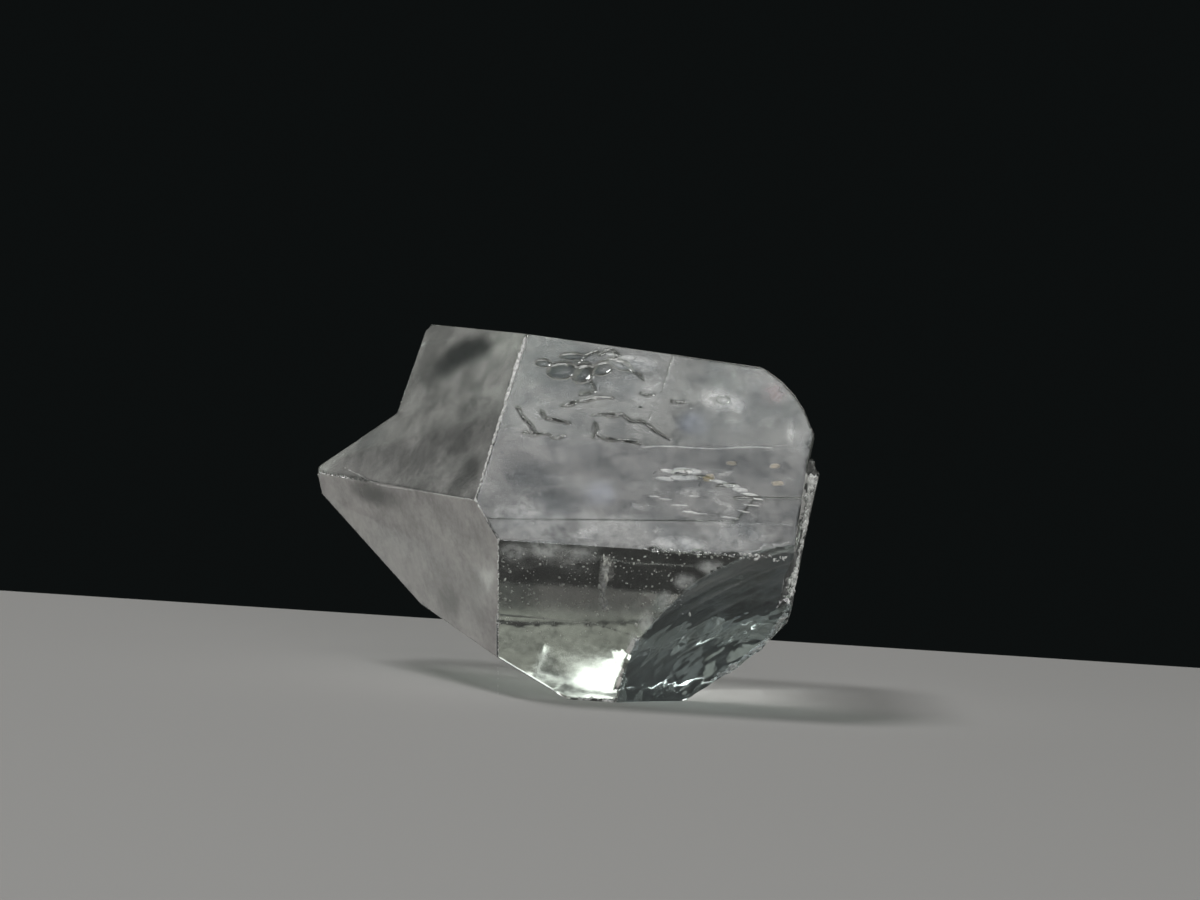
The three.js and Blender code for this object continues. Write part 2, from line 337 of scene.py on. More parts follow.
# %% The leaning corner
BEND_START = on_face(FRONT_LOWER, 0.03, -3.13)
BEND_TOWARDS = 0.633 * np.array([1.0, 0.0, 0.0]) - 0.774 * uphill(FRONT_LOWER)
BEND_ANGLE = math.radians(7)
LEDGE_DROP = 0.03


def bend_depth(places):
    """How far the lowest corner of the lower front face leans back at each place, 0 elsewhere."""
    off = places - BEND_START
    on_plane = np.abs(off @ facing(FRONT_LOWER)) < LEDGE_DROP
    beyond = np.clip(off @ BEND_TOWARDS, 0, None)
    return np.where(on_plane, beyond, 0) * math.tan(BEND_ANGLE)


print("the corner leans, degrees:", round(math.degrees(BEND_ANGLE)))

# %% [markdown]
# Now every part knows how fine it has to be. An edge may be longer the further it is from a worn edge or a
# groove, and also the further back it is, where nothing is seen from close up.

# %% Make the fine mesh
FINE = 0.034
SHELL_FINE = 0.07
BEND_FINE = 0.08
COARSE = 0.45
GROWTH = 0.6
FRONT_HALF = -0.5
BEHIND_GROWTH = 0.025


def too_long(middles, lengths):
    """True for each edge that is longer than its place allows."""
    result = lengths > COARSE
    result |= (lengths > SHELL_FINE) & on_shell(middles)
    result |= (lengths > BEND_FINE) & (bend_depth(middles) > 0)
    close = np.flatnonzero((lengths > FINE) & ~result)
    if len(close):
        near = np.array([min(edge_tree.find(p)[2], groove_tree.find(p)[2]) for p in middles[close]])
        behind = np.clip(middles[close, 1] - FRONT_HALF, 0, None)
        result[close] = lengths[close] > FINE + GROWTH * near + BEHIND_GROWTH * behind
    return result


more = True
while more:
    points, triangles, more = halve(points, triangles, too_long)
print("fine mesh:", len(points), "vertices,", len(triangles), "triangles")

# %% [markdown]
# ## A growth ledge that starts gently
# A growth ledge is a thin layer that stopped growing before the rest. The solid's upper ledge on the upper
# front face begins at its left with a step that would draw a dark line. On the real crystal that layer thins
# out there, so its depth is faded in from nothing over almost a millimetre.

# %% Fade the ledge
LEDGE_SIDE_UP = (2.03, 3.1, 5.0)
LEDGE_SIDE_ALONG = (1.1, 1.5, 1.9)
LEDGE_DEEP = 0.022
LEDGE_DEEP_BAND = 0.004
LEDGE_SIDE_BAND = 0.02
LEDGE_FADE = 0.9


def fade_ledge(points):
    """Lifts the places on the ledge, fully at its left side and less and less further along."""
    off = points - FRONT_EDGE
    up = off @ uphill(FRONT_UPPER)
    deep = -(off @ facing(FRONT_UPPER))
    beyond = off[:, 0] - np.interp(up, LEDGE_SIDE_UP, LEDGE_SIDE_ALONG)
    share = np.clip(beyond / LEDGE_FADE, 0, 1)
    share = share * share * (3 - 2 * share)
    on_ledge = (np.abs(deep - LEDGE_DEEP) < LEDGE_DEEP_BAND) & (up > LEDGE_SIDE_UP[0])
    on_ledge &= beyond > -LEDGE_SIDE_BAND
    lift = np.where(on_ledge, deep * (1 - share), 0)
    print("places lifted on the ledge:", int((lift > 0).sum()))
    return points + facing(FRONT_UPPER) * lift[:, None]


points = fade_ledge(points)

# %% [markdown]
# ## Worn edges
# A real edge is never perfectly sharp. Points close to a long edge are drawn a few times towards the middle
# of their neighbours, which rounds the edge by a few hundredths of a millimetre and leaves the flat faces
# exactly flat. That thin rounding is what makes the edges glint.

# %% Round the edges
WEAR_REACH = 0.034
WEAR_ROUNDS = 4
WEAR_SHARE = 0.5


def neighbours_mean(points, triangles):
    """For each point, the middle of the points that it shares an edge with."""
    pairs = triangles[:, [[0, 1], [1, 2], [2, 0], [1, 0], [2, 1], [0, 2]]].reshape(-1, 2)
    count = np.bincount(pairs[:, 0], minlength=len(points))
    sums = [np.bincount(pairs[:, 0], points[pairs[:, 1], k], len(points)) for k in range(3)]
    return np.stack(sums, axis=1) / count[:, None]


edge_distance = nearest_distance(points, edge_tree)
wear = np.clip(1 - edge_distance / WEAR_REACH, 0, 1)[:, None]
for _ in range(WEAR_ROUNDS):
    points = points + wear * WEAR_SHARE * (neighbours_mean(points, triangles) - points)
print("points that wear:", int((wear > 0).sum()))

# %% [markdown]
# The corner is tilted and the break is smoothed next. Its coarse ripples are mostly taken out, because the
# real break is glassy, and the fine streaks are put in. Both fade out close to an edge. The grooves come
# last, each pressed in along the surface's own direction, with soft sides.

# %% Tilt the corner, streak the break and cut the grooves
SHELL_CALM = 0.12


def corner_normals(points, triangles):
    """The surface's direction at each point, as the mean of its triangles by their areas."""
    a, b, c = points[triangles].transpose(1, 0, 2)
    flat = np.cross(b - a, c - a)
    sums = [np.bincount(triangles.ravel(), np.repeat(flat[:, k], 3), len(points)) for k in range(3)]
    total = np.stack(sums, axis=1)
    return total / np.linalg.norm(total, axis=1, keepdims=True)


leaning = bend_depth(points)
points = points - facing(FRONT_LOWER) * leaning[:, None]
away = np.linalg.norm(points - SHELL_CENTRE, axis=1)
inward = (points - SHELL_CENTRE) / away[:, None]
calm = np.clip(edge_distance / SHELL_CALM, 0, 1) * on_shell(points)
moved = (SHELL_RADIUS - away) * (1 - RIPPLE_LEFT) + streak_height(points)
points = points + inward * (moved * calm)[:, None]
print("points on the shell:", int((calm > 0).sum()), "and on the leaning corner:", int((leaning > 0).sum()))

normals = corner_normals(points, triangles)
groove_distance = nearest_distance(points, groove_tree)
groove = np.exp(-((groove_distance / GROOVE_WIDTH) ** 2))
points = points - normals * (groove * GROOVE_DEPTH)[:, None]
print("deepest groove, mm:", round(float((groove * GROOVE_DEPTH).max()), 3))

# %% [markdown]
# ## The crystal's mesh
# The finished points become a Blender mesh, back in metres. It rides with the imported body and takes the
# place of its plain solid. Shading is smooth, so that worn edges and streaks bend the light gradually, but
# the small steps and pits keep crisp edges.

# %% Build the crystal
def new_piece(name, points, faces):
    """A mesh object from points in mm, linked to the scene and riding with the crystal."""
    mesh = bpy.data.meshes.new(name)
    mesh.from_pydata((np.asarray(points) * MM).tolist(), [], np.asarray(faces).tolist())
    mesh.polygons.foreach_set("use_smooth", np.full(len(mesh.polygons), True))
    mesh.update()
    piece = bpy.data.objects.new(name, mesh)
    bpy.context.scene.collection.objects.link(piece)
    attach(piece, "root")
    return piece


crystal = new_piece("crystal_body", points, triangles)
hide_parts("crystal")
body = crystal.data
body.set_sharp_from_angle(angle=SHARP)
crisp = np.zeros(len(body.edges), bool)
body.attributes["sharp_edge"].data.foreach_get("value", crisp)
ends = np.zeros(len(body.edges) * 2, np.int32)
body.edges.foreach_get("vertices", ends)
crisp &= edge_distance[ends.reshape(-1, 2)].min(axis=1) > WEAR_REACH
crisp &= groove_distance[ends.reshape(-1, 2)].min(axis=1) > 2 * GROOVE_WIDTH
body.attributes["sharp_edge"].data.foreach_set("value", crisp)
print("crisp edges:", int(crisp.sum()))

# %% [markdown]
# Everything else lies inside this surface, so later steps ask whether a place is inside the crystal.

# %% Inside or outside
surface_tree = BVHTree.FromPolygons(points.tolist(), triangles.tolist())


def inside(place, margin=0.01):
    """True if a place is in the crystal, at least the margin below its surface."""
    near, normal, _, reach = surface_tree.find_nearest(place)
    return reach > margin and (Vector(place) - near).dot(normal) < 0


print("the middle is inside:", inside(AXIS))

# %% [markdown]
# ## Shader sums in Python
# A shader tree is easier to read as sums. A Wire holds one socket, and adding, subtracting or multiplying
# wires adds Math nodes. Every other node comes from one method, which takes its type, settings and inputs.

# %% Wire and Tree
class Wire:
    """One output socket that can be added, subtracted and multiplied."""

    def __init__(self, tree, socket):
        self.tree = tree
        self.socket = socket

    def __add__(self, other):
        return self.tree.math("ADD", self, other)

    def __sub__(self, other):
        return self.tree.math("SUBTRACT", self, other)

    def __rsub__(self, other):
        return self.tree.math("SUBTRACT", other, self)

    def __mul__(self, other):
        return self.tree.math("MULTIPLY", self, other)

    __radd__ = __add__
    __rmul__ = __mul__


class Tree:
    """A new material and the one way to add nodes to it."""

    def __init__(self, name):
        self.material = bpy.data.materials.new(name)
        self.material.use_nodes = True
        self.nodes = self.material.node_tree.nodes
        self.links = self.material.node_tree.links
        self.nodes.clear()

    def feed(self, socket, value):
        if isinstance(value, Wire):
            self.links.new(value.socket, socket)
        else:
            socket.default_value = value

    def add(self, kind, settings=None, inputs=None, output=0):
        node = self.nodes.new(kind)
        for name, value in (settings or {}).items():
            setattr(node, name, value)
        for name, value in (inputs or {}).items():
            self.feed(node.inputs[name], value)
        return Wire(self, node.outputs[output]) if node.outputs else None

    def math(self, operation, *values):
        return self.add("ShaderNodeMath", {"operation": operation}, dict(enumerate(values)))


# %% [markdown]
# ## Patterns for a thing this small
# Blender measures in metres, and this crystal is 9 mm long. So each pattern first turns the place on the
# surface into millimetres. Then a noise scale of 1 makes blotches about a millimetre across.

# %% Patterns in millimetres
PATCH_CORE = 0.25


def place_in_mm(tree):
    """The place on the surface, in millimetres."""
    where = tree.add("ShaderNodeTexCoord", output="Object")
    return tree.add("ShaderNodeVectorMath", {"operation": "SCALE"}, {0: where, "Scale": 1 / MM})


def noise(tree, where, per_mm, detail=3.0, roughness=0.55, stretch=(1, 1, 1)):
    """Even cloudy noise from about 0.2 to 0.8."""
    placed = tree.add("ShaderNodeVectorMath", {"operation": "MULTIPLY"}, {0: where, 1: stretch})
    return tree.add(
        "ShaderNodeTexNoise",
        inputs={"Vector": placed, "Scale": per_mm, "Detail": detail, "Roughness": roughness},
    )


def ramp(tree, value, low, high, to_low=0.0, to_high=1.0):
    """The value's stretch from low to high, eased into to_low to to_high."""
    return tree.add(
        "ShaderNodeMapRange",
        {"interpolation_type": "SMOOTHSTEP"},
        {0: value, 1: low, 2: high, 3: to_low, 4: to_high},
    )


def patch(tree, where, centre, radii):
    """1 in the core of a patch round a place, easing to 0 at its radii, all in mm."""
    moved = tree.add("ShaderNodeVectorMath", {"operation": "SUBTRACT"}, {0: where, 1: tuple(centre)})
    shaped = tree.add(
        "ShaderNodeVectorMath", {"operation": "MULTIPLY"}, {0: moved, 1: tuple(1 / r for r in radii)}
    )
    reach = tree.add("ShaderNodeVectorMath", {"operation": "LENGTH"}, {0: shaped}, output="Value")
    return ramp(tree, reach, PATCH_CORE, 1.0, 1.0, 0.0)


def mix(tree, factor, first, second):
    """A colour between two colours."""
    return tree.add(
        "ShaderNodeMix", {"data_type": "RGBA"}, {0: factor, 6: (*first, 1), 7: (*second, 1)}, output=2
    )


# %% [markdown]
# ## The clear crystal
# Phenakite is colourless and bends light more than window glass does: its index is about 1.654. A face that
# acids etched scatters a little of the light, and looks grey where a clean face looks dark. So the finish
# takes the share of light that passes, a noise for the haze, lists of cleaner places, whose darker colour
# is partly painted shade, and lists of more matt places.
# A part of the lamps' light passes straight through the surface, and so reaches the veils inside.

# %% Crystal finish
PHENAKITE_IOR = 1.654
ABSORPTION = (0.93, 0.945, 0.935, 1)
ABSORPTION_PER_METRE = 25.0
LAMP_PASS = 0.6
BLOTCHES_PER_MM = 1.3
GRAIN_PER_MM = 7.0
SWELLS_PER_MM = 1.7
WAVES_PER_MM = 14.0
ROUGHEST = 1.8


def crystal_material(
    name, through, roughness, pale, dark, blotches, fine,
    clean_and_shaded_places=(), matt_places=(), swell=0.0, wavy=0.0004,
):
    """Glass that lets the share through pass. blotches and fine are how much its haze varies at random, and
    the clean places darken it, partly as painted shade.
    """
    tree = Tree(name)
    where = place_in_mm(tree)
    broad = ramp(tree, noise(tree, where, BLOTCHES_PER_MM, detail=6.0, roughness=0.7), low=0.38, high=0.62)
    grain = ramp(tree, noise(tree, where, GRAIN_PER_MM, detail=3.0, roughness=0.65), low=0.35, high=0.65)
    haze_and_shade = 1 - blotches * (1 - broad) - fine * (1 - grain)
    # Clean places: less haze, and a darker colour that is painted shade, since it also darkens the light
    # that passes
    for centre, radii, share in clean_and_shaded_places:
        haze_and_shade = haze_and_shade * (1 - share * patch(tree, where, centre, radii))
    rough = ramp(tree, grain, 0.0, 1.0, roughness, roughness * ROUGHEST)
    for centre, radii, added in matt_places:
        rough = rough + added * patch(tree, where, centre, radii)
    swells = noise(tree, where, SWELLS_PER_MM, detail=3.0, roughness=0.5)
    waves = noise(tree, where, WAVES_PER_MM, detail=2.0)
    relief = swell * swells + wavy * waves
    bump = tree.add("ShaderNodeBump", inputs={"Strength": 1.0, "Distance": MM, "Height": relief})
    shader = tree.add(
        "ShaderNodeBsdfPrincipled",
        inputs={
            "Base Color": mix(tree, haze_and_shade, dark, pale),
            "Roughness": rough,
            "IOR": PHENAKITE_IOR,
            "Transmission Weight": through,
            "Normal": bump,
        },
    )
    lamp_ray = tree.add("ShaderNodeLightPath", output="Is Shadow Ray")
    unseen = tree.add("ShaderNodeBsdfTransparent", inputs={"Color": (1, 1, 1, 1)})
    surface = tree.add("ShaderNodeMixShader", inputs={0: lamp_ray * LAMP_PASS, 1: shader, 2: unseen})
    within = tree.add(
        "ShaderNodeVolumeAbsorption", inputs={"Color": ABSORPTION, "Density": ABSORPTION_PER_METRE}
    )
    tree.add("ShaderNodeOutputMaterial", inputs={"Surface": surface, "Volume": within})
    return tree.material


# %% [markdown]
# ## Clean places with painted shade, and matt places
# A clean place in a hazy face looks dark. In part the eye sees through it into the crystal, and in part its
# colour is darkened, which is painted shade, because that colour also darkens the light that passes. Near
# the top of the point several of them run into one diagonal patch. On the lower front face a clean band of
# painted shade lies below the front edge. A matt place is the opposite: it spreads what is mirrored there,
# so that no hard outline shows.
# Each entry is a centre, the three radii of the patch in mm, and its strength.

# %% Clean places with painted shade, and matt places
# Clean places on the upper front face: less haze, and painted shade where the dark room shows through
clean_shade_upper = [
    (on_face(FRONT_UPPER, -0.1, 3.45), (0.9, 0.7, 0.7), 0.85),
    (on_face(FRONT_UPPER, -0.75, 1.3), (0.7, 0.5, 0.5), 0.85),
    (on_face(FRONT_UPPER, -0.2, 0.85), (0.85, 0.4, 0.45), 0.65),
    (on_face(FRONT_UPPER, 3.05, 0.5), (0.5, 0.4, 0.4), 0.4),
    (on_face(FRONT_UPPER, 2.5, 1.9), (1.2, 0.4, 0.4), 0.3),
]
# Painted shade: a dark band below the front edge of the lower front face, with less haze there too
clean_shade_lower = [
    (on_face(FRONT_LOWER, 0.2, -1.1), (2.3, 1.5, 0.45), 0.85),
    (on_face(FRONT_LOWER, 0.45, -1.16), (1.3, 1.5, 0.34), 0.7),
]
lower_matt = [
    (on_face(FRONT_LOWER, 0.5, -2.8), (1.3, 1.2, 0.75), 0.16),
    (on_face(FRONT_LOWER, 0.2, -1.3), (2.2, 1.2, 0.6), 0.13),
]
# Clean places on the point: less haze, and painted shade in dark patches and one diagonal band
clean_shade_point_upper = [
    ((-1.62, 0.0, 6.17), (0.34, 1.5, 0.32), 0.95),
    ((-1.9, 0.0, 6.08), (0.4, 1.5, 0.38), 0.97),
    ((-2.17, 0.0, 5.93), (0.42, 1.5, 0.38), 0.97),
    ((-2.42, 0.0, 5.75), (0.42, 1.5, 0.38), 0.95),
    ((-2.66, 0.0, 5.53), (0.36, 1.5, 0.4), 0.8),
    ((-1.85, -1.5, 4.55), (0.55, 1.5, 1.0), 0.35),
    ((-1.68, -2.41, 4.08), (0.5, 0.6, 0.5), 0.6),
    ((-1.93, -2.36, 3.7), (0.5, 0.5, 0.4), 0.5),
    ((-2.3, -0.76, 4.64), (0.6, 0.9, 0.35), 0.35),
]
clean_shade_point_lower = [
    ((-3.55, 0.45, 3.35), (0.6, 1.5, 0.34), 0.6),
    ((-3.2, -0.03, 3.28), (0.55, 1.5, 0.3), 0.45),
    ((-1.92, -1.16, 1.61), (0.5, 0.6, 0.4), 0.35),
]
print("clean places:", sum(map(len, (clean_shade_upper, clean_shade_lower, clean_shade_point_upper, clean_shade_point_lower))))

# %% [markdown]
# ## The finish of each face
# The four faces in front differ in how strongly they were etched. The lower front face is the clearest, and
# the lower face of the point is the haziest. The break is glassy and a little blue. The rest of the crystal
# is plain and clear. A triangle belongs to a face if it looks the same way, within about 14 degrees.

# %% Finishes and the faces that wear them
PALE = (0.97, 0.97, 0.955)
DARK = (0.21, 0.21, 0.2)
# Near black: in the clean places of the point this colour is painted shade, darkening the light that passes
CLEAN_AND_SHADED = (0.03, 0.04, 0.035)
# The cosine of the widest angle between a triangle and its face, 14 degrees
SAME_WAY = 0.97
# How far into the calm border of the break its finish begins, as a share
BREAK_SHARE = 0.2

finishes = {
    "crystal_clear": dict(
        through=0.985, roughness=0.015, pale=PALE, dark=DARK, blotches=0.25, fine=0.15, wavy=0.0001
    ),
    "crystal_upper": dict(
        through=0.745, roughness=0.14, pale=PALE, dark=(0.18, 0.21, 0.23), blotches=0.62, fine=0.2,
        clean_and_shaded_places=clean_shade_upper, swell=0.004, wavy=0.0001,
    ),
    "crystal_lower": dict(
        through=0.975, roughness=0.04, pale=(1.0, 0.98, 0.92), dark=DARK, blotches=0.4, fine=0.4,
        clean_and_shaded_places=clean_shade_lower, matt_places=lower_matt,
    ),
    "crystal_point_upper": dict(
        through=0.74, roughness=0.15, pale=(0.98, 0.965, 0.92), dark=CLEAN_AND_SHADED, blotches=0.5, fine=0.08,
        clean_and_shaded_places=clean_shade_point_upper, swell=0.008, wavy=0.0006,
    ),
    # The pink of this pale colour is a painted reflection of warm light from below, not a colour of the
    # crystal
    "crystal_point_lower": dict(
        through=0.54, roughness=0.14, pale=(1.0, 0.94, 0.92), dark=CLEAN_AND_SHADED, blotches=0.27, fine=0.12,
        clean_and_shaded_places=clean_shade_point_lower, swell=0.008, wavy=0.0008,
    ),
    "crystal_break": dict(
        through=0.95, roughness=0.05, pale=(0.7, 0.79, 0.87), dark=DARK, blotches=0.5, fine=0.3, wavy=0.0002
    ),
}
order = list(finishes)
for name, finish in finishes.items():
    body.materials.append(crystal_material(name, **finish))
dressed = {
    "crystal_upper": facing(FRONT_UPPER),
    "crystal_lower": facing(FRONT_LOWER),
    "crystal_point_upper": facing(*POINT_UPPER[:2]),
    "crystal_point_lower": facing(*POINT_LOWER[:2]),
}
flat_normals = np.zeros(len(triangles) * 3)
body.polygons.foreach_get("normal", flat_normals)
flat_normals = flat_normals.reshape(-1, 3)
chosen = np.zeros(len(triangles), np.int32)
for name, normal in dressed.items():
    chosen[flat_normals @ normal > SAME_WAY] = order.index(name)
chosen[calm[triangles].min(axis=1) > BREAK_SHARE] = order.index("crystal_break")
body.polygons.foreach_set("material_index", chosen)
print("triangles of each finish:", dict(zip(order, np.bincount(chosen, minlength=len(order)).tolist())))

# %% [markdown]
# ## Blobs
# Specks, chips and flakes are all small blobs. Each starts as a ball of a few triangles, is squeezed and
# turned by a table of three half axes, and gets slightly lumpy. All blobs of a kind are one mesh, because
# thousands of objects would be slow.

# %% Blobs in one mesh
SEED = 11
rng = np.random.default_rng(SEED)


def ball(rounds):
    """The places and triangles of a ball with a radius of 1."""
    work = bmesh.new()
    bmesh.ops.create_icosphere(work, subdivisions=rounds, radius=1.0)
    work.verts.ensure_lookup_table()
    places = np.array([v.co for v in work.verts])
    faces = np.array([[v.index for v in f.verts] for f in work.faces])
    work.free()
    return places, faces


ROUGH_BALL = ball(1)
ROUND_BALL = ball(2)


def blobs(name, spots, material, shape=ROUGH_BALL):
    """One mesh of many blobs. Each spot is a centre, a 3 by 3 table of its half axes, and a roughness."""
    verts, faces = shape
    all_points, all_faces = [], []
    for centre, axes, rough in spots:
        lumpy = verts * (1 + rough * rng.uniform(-1, 1, (len(verts), 1)))
        all_faces.append(faces + len(all_points) * len(verts))
        all_points.append(lumpy @ axes + centre)
    piece = new_piece(name, np.vstack(all_points), np.vstack(all_faces))
    piece.data.materials.append(material)
    print(name, "blobs:", len(spots))


def face_axes(azimuth, size_along, size_up, thick, turn=0.0, tilt=0.0):
    """Half axes of a flake that lies on a prism face, turned in the face and tilted out of it."""
    out = facing(azimuth)
    up = uphill(azimuth)
    length = np.array([1.0, 0.0, 0.0])
    first = length * math.cos(turn) + up * math.sin(turn)
    second = up * math.cos(turn) - length * math.sin(turn)
    tilted = second * math.cos(tilt) + out * math.sin(tilt)
    third = out * math.cos(tilt) - second * math.sin(tilt)
    return np.array([first * size_along, tilted * size_up, third * thick])


# %% [markdown]
# ## Frost
# Crushed crystal and tiny bubbles scatter all light, like snow. So the blobs are opaque and nearly white.
# Two tinted kinds serve for the stains, and for the dark grains and the painted shade in the grooves. A fine
# grain keeps them from looking like paint.

# %% Frost
FROST_PER_MM = 20.0
FROST_SHADE = 0.6
FROST_SMOOTHEST = 0.6


def frost_material(name, colour, roughness):
    """Opaque frost that varies from the colour to its shade."""
    tree = Tree(name)
    grain = noise(tree, place_in_mm(tree), FROST_PER_MM)
    shade = tuple(c * FROST_SHADE for c in colour)
    shader = tree.add(
        "ShaderNodeBsdfPrincipled",
        inputs={
            "Base Color": mix(tree, ramp(tree, grain, 0.3, 0.7), shade, colour),
            "Roughness": ramp(tree, grain, 0.3, 0.7, roughness, roughness * FROST_SMOOTHEST),
        },
    )
    tree.add("ShaderNodeOutputMaterial", inputs={"Surface": shader})
    return tree.material


white_frost = frost_material("white_frost", (0.95, 0.95, 0.93), 0.35)
tan_frost = frost_material("tan_frost", (0.62, 0.5, 0.3), 0.5)
dark_frost_and_groove_shade = frost_material("dark_frost_and_groove_shade", (0.03, 0.035, 0.03), 0.4)
print("frost:", [material.name for material in (white_frost, tan_frost, dark_frost_and_groove_shade)])

# %% [markdown]
# ## Specks
# Tiny bubbles and grains lie just under the front faces, most of them in the dark band of the lower one. Few
# are large: a random number to the fourth power is nearly always small. The largest are placed one by one.

# %% Scatter the specks
SPECK_LUMPS = 0.25
SPECK_FLAT = 0.6
SPECK_LENGTHS = (1, 1.8)
# Face, number, range along the crystal, range up the face, smallest, largest and range of depth
SPECKLED = [
    (FRONT_LOWER, 320, (-1.0, 2.2), (-1.5, -0.2), 0.007, 0.024),
    (FRONT_LOWER, 40, (-1.0, 0.9), (-2.4, -1.5), 0.006, 0.018),
    (FRONT_UPPER, 120, (-1.2, 3.6), (0.1, 1.2), 0.004, 0.013),
    (FRONT_UPPER, 60, (-0.9, 3.6), (1.2, 3.9), 0.003, 0.01),
    (FRONT_LOWER, 110, (1.5, 4.0), (-0.12, 0.0), 0.008, 0.03, (0.012, 0.04)),
    (FRONT_LOWER, 30, (-1.2, -1.0), (-2.3, -0.4), 0.008, 0.02),
]


def scattered(azimuth, count, along, up, small, large, depth=(0.02, 0.3)):
    """Specks spread over a part of a front face, most of them small."""
    found = []
    for _ in range(count):
        size = small + (large - small) * rng.random() ** 4
        centre = on_face(azimuth, rng.uniform(*along), rng.uniform(*up), rng.uniform(*depth))
        length = size * rng.uniform(*SPECK_LENGTHS)
        axes = face_axes(azimuth, length, size, size * SPECK_FLAT, rng.uniform(0, math.pi))
        found.append((centre, axes, SPECK_LUMPS))
    return found


def scattered_on_point(count, along, height, depth):
    """Specks under the lower face of the point, spread evenly as they are seen from the front."""
    normal = facing(*POINT_LOWER[:2])
    found = []
    for _ in range(count):
        place = np.array([rng.uniform(*along), 0.0, rng.uniform(*height)])
        start = AXIS + normal * (POINT_LOWER[2] - rng.uniform(*depth))
        place[1] = start[1] - ((place - start) @ (normal * [1, 0, 1])) / normal[1]
        if inside(place):
            size = rng.uniform(0.005, 0.016)
            axes = face_axes(FRONT_LOWER, size * 1.4, size, size * SPECK_FLAT, rng.uniform(0, 3))
            found.append((place, axes, SPECK_LUMPS))
    return found


specks = []
for part in SPECKLED:
    specks += scattered(*part)
specks += scattered_on_point(70, (-3.4, -1.7), (1.4, 3.2), (0.02, 0.2))

# %% Bright specks
BRIGHT_DEPTH = 0.03
BRIGHT_THICK = 0.012
BRIGHT_LUMPS = 0.3
# Place along the crystal and up the lower front face, half width and half height, in mm
BRIGHT_SPECKS = [
    (1.32, -1.7, 0.035, 0.06), (1.41, -1.23, 0.03, 0.03), (0.73, -1.18, 0.03, 0.04),
    (-1.07, -0.88, 0.02, 0.05), (-1.05, -1.32, 0.03, 0.04), (-0.62, -1.07, 0.04, 0.02),
    (2.26, -1.39, 0.02, 0.06), (0.17, -0.78, 0.02, 0.02), (0.62, -1.52, 0.035, 0.03),
    (0.8, -1.39, 0.03, 0.03), (-0.98, -0.7, 0.02, 0.03),
]
for along, up, wide, tall in BRIGHT_SPECKS:
    axes = face_axes(FRONT_LOWER, wide, tall, BRIGHT_THICK, rng.uniform(-0.4, 0.4))
    specks.append((on_face(FRONT_LOWER, along, up, BRIGHT_DEPTH), axes, BRIGHT_LUMPS))
blobs("specks", specks, white_frost)

# %% [markdown]
# ## Bruised edges
# The edge between the point and the upper front face is bruised: a row of tiny chips makes it a bright line,
# thick at the top and thin further down. The other edges of the point have fewer and smaller chips. The rim
# at the broken end has many. There a ray from the front finds the surface that each chip lies under.

# %% Chips along the edges
RIDGE_FROM = (-4.05, 1.33, 3.69)
RIDGE_TO = (-3.39, -0.01, 3.52)
RIM = [
    (4.47, -1.38, 4.26), (4.41, -1.38, 3.49), (4.3, -1.2, 2.6), (4.15, -1.0, 1.7),
    (3.83, -0.82, 1.18), (3.32, -0.69, 0.71), (2.9, -0.68, 0.37),
]
TOP_GAP = 0.03
CHIP_LUMPS = 0.3
CHIP_DEPTH = 0.015
CHIP_FLAT = 0.5
CHIP_SIZES = (0.4, 1.0)
CHIP_LENGTHS = (1.5, 3.0)
# Chips crowd at the start of their line, and towards its end they get smaller and keep closer to it
CHIP_CROWDING = 1.3
CHIP_SHRINKING = 0.6
CHIP_CLOSING = 0.5
RAY_START = 3
TO_BACK = Vector((0.0, 1.0, 0.0))


def bruises(start, end, count, size, spread, from_front=False):
    """Chips along a line, smaller towards its end. spread is how far they stray from the line."""
    start, end = np.array(start), np.array(end)
    along = (end - start) / np.linalg.norm(end - start)
    side = np.cross(along, [0.0, -1.0, 0.0])
    deep = np.cross(along, side)
    found = []
    for _ in range(count):
        share = rng.random() ** CHIP_CROWDING
        width = size * (1 - CHIP_SHRINKING * share) * rng.uniform(*CHIP_SIZES)
        strays = rng.normal(0, spread * (1 - CHIP_CLOSING * share), 3)
        centre = start + (end - start) * share + strays
        if from_front:
            near, normal, _, _ = surface_tree.ray_cast(Vector(centre) - RAY_START * TO_BACK, TO_BACK)
            if near is None:
                continue
            centre = np.array(near - normal * CHIP_DEPTH)
        length = width * rng.uniform(*CHIP_LENGTHS)
        axes = np.array([along * length, side * width, deep * width * CHIP_FLAT])
        found.append((centre, axes, CHIP_LUMPS))
    return found


top_corner = corner(POINT_UPPER, PRISM_UPPER, PRISM_TOP)
middle_corner = corner(POINT_UPPER, POINT_LOWER, PRISM_UPPER)
front_corner = corner(POINT_LOWER, PRISM_UPPER, PRISM_LOWER)
low_corner = corner(POINT_LOWER, PRISM_LOWER, PRISM_UNDER)
top_start = top_corner + (middle_corner - top_corner) * TOP_GAP
bruised = bruises(top_start, middle_corner, 420, 0.036, 0.013)
bruised += bruises(RIDGE_TO, middle_corner, 130, 0.015, 0.006)
bruised += bruises(middle_corner, front_corner, 50, 0.015, 0.006)
bruised += bruises(front_corner, low_corner, 120, 0.015, 0.006)
bruised += bruises(RIDGE_FROM, RIDGE_TO, 40, 0.02, 0.006)
for start, end in zip(RIM[:-1], RIM[1:]):
    bruised += bruises(start, end, 80, 0.034, 0.03, from_front=True)
blobs("bruised_edges", bruised, white_frost)

# %% [markdown]
# ## Flakes
# Where the crystal parted a little inside, thin flat gaps mirror the light. The brightest lie in the middle
# of the upper front face, in short rows along the crystal.

# %% Bright flakes
FLAKE_THICK = 0.008
FLAKE_LUMPS = 0.22
FLAKE_LEAST_DEPTH = 0.015
FLAKE_DEPTH_SPREAD = 0.03
